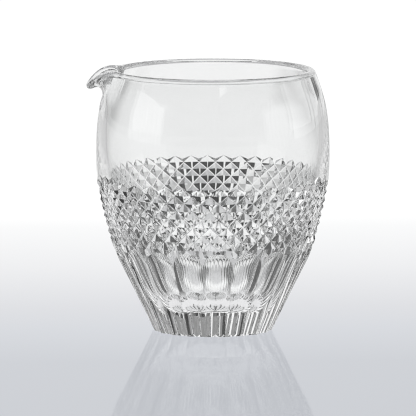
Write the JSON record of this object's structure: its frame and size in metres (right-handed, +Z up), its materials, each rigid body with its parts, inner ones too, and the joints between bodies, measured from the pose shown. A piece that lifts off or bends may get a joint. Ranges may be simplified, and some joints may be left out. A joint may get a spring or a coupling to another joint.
{
  "type": "mixing glass",
  "caption": "Cut crystal bar mixing glass with a pulled pouring lip, a belt of diamond cutting, and long flutes tapering to a narrow thick foot with a star cut under it.",
  "frame": {"origin": "centre of the underside of the foot, on the axis of the glass, in the plane it stands on", "axes": "+Z up along the axis of the glass, -X towards the pouring lip, +Y to complete a right-handed frame"},
  "size_m": [0.116, 0.1114, 0.1256],
  "materials": {
    "crystal": "polished"
  },
  "bodies": {
    "root": {"mixing_glass": "crystal"}
  },
  "joints": []
}
